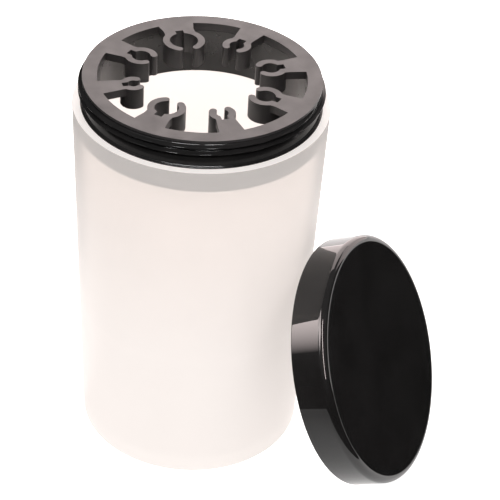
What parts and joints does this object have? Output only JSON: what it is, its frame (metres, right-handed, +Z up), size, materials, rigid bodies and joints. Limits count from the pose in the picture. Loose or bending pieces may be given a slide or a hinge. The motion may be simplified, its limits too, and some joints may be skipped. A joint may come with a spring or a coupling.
{
  "type": "brush washer cup",
  "caption": "Tall tapered milky cup with a threaded neck ring, a lift-out rack of graduated spring clips for brush handles, and a screw lid leaning against it.",
  "frame": {"origin": "centre of the cup's footprint, on the surface it stands on", "axes": "+Z up along the cup's axis; the lid leans on the cup towards +X and slightly -Y"},
  "size_m": [0.1408, 0.1168, 0.1503],
  "materials": {
    "milky_plastic": "milky, smooth",
    "collar_plastic": "black, satin thread",
    "seal_rubber": "matt",
    "rack_plastic": "fine matt texture",
    "lid_plastic": "polished black",
    "liner_rubber": "matt"
  },
  "bodies": {
    "cup": {"cup_body": "milky_plastic", "threaded_collar": "collar_plastic", "collar_seal": "seal_rubber"},
    "rack": {"brush_rack": "rack_plastic"},
    "lid": {"lid_cap": "lid_plastic", "lid_seal_ring": "liner_rubber"}
  },
  "joints": [
    {"name": "rack_lift", "type": "slide", "parent": "cup", "child": "rack", "axis": [0, 0, 1], "range_m": [0, 0.03]},
    {"name": "lid_tip", "type": "hinge", "parent": "cup", "child": "lid", "pos_m": [0.08306, -0.03222, 0.00581], "axis": [0.3616, 0.9323, 0], "range_deg": [0, 114.4]}
  ]
}
